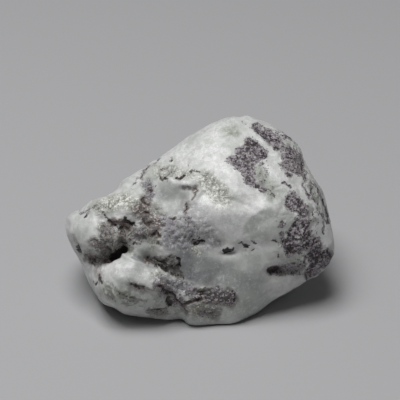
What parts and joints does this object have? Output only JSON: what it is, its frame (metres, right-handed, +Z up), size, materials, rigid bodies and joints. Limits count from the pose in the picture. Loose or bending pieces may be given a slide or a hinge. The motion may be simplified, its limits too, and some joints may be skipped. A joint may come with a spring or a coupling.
{
  "type": "raw larimar",
  "caption": "Rough lump of white to grey-green pectolite with dark matrix patches, worn knobs, a deep waist and small pits, resting on a small flat spot.",
  "frame": {"origin": "middle of the bounding box, on the surface the stone rests on", "axes": "+X towards the stone's blunt end, -Y towards its pitted broad front, +Z up"},
  "size_m": [0.0474, 0.0358, 0.0302],
  "materials": {
    "pectolite": "worn, slightly waxy stone with dark speckled matrix patches"
  },
  "bodies": {
    "root": {"larimar": "pectolite"}
  },
  "joints": []
}
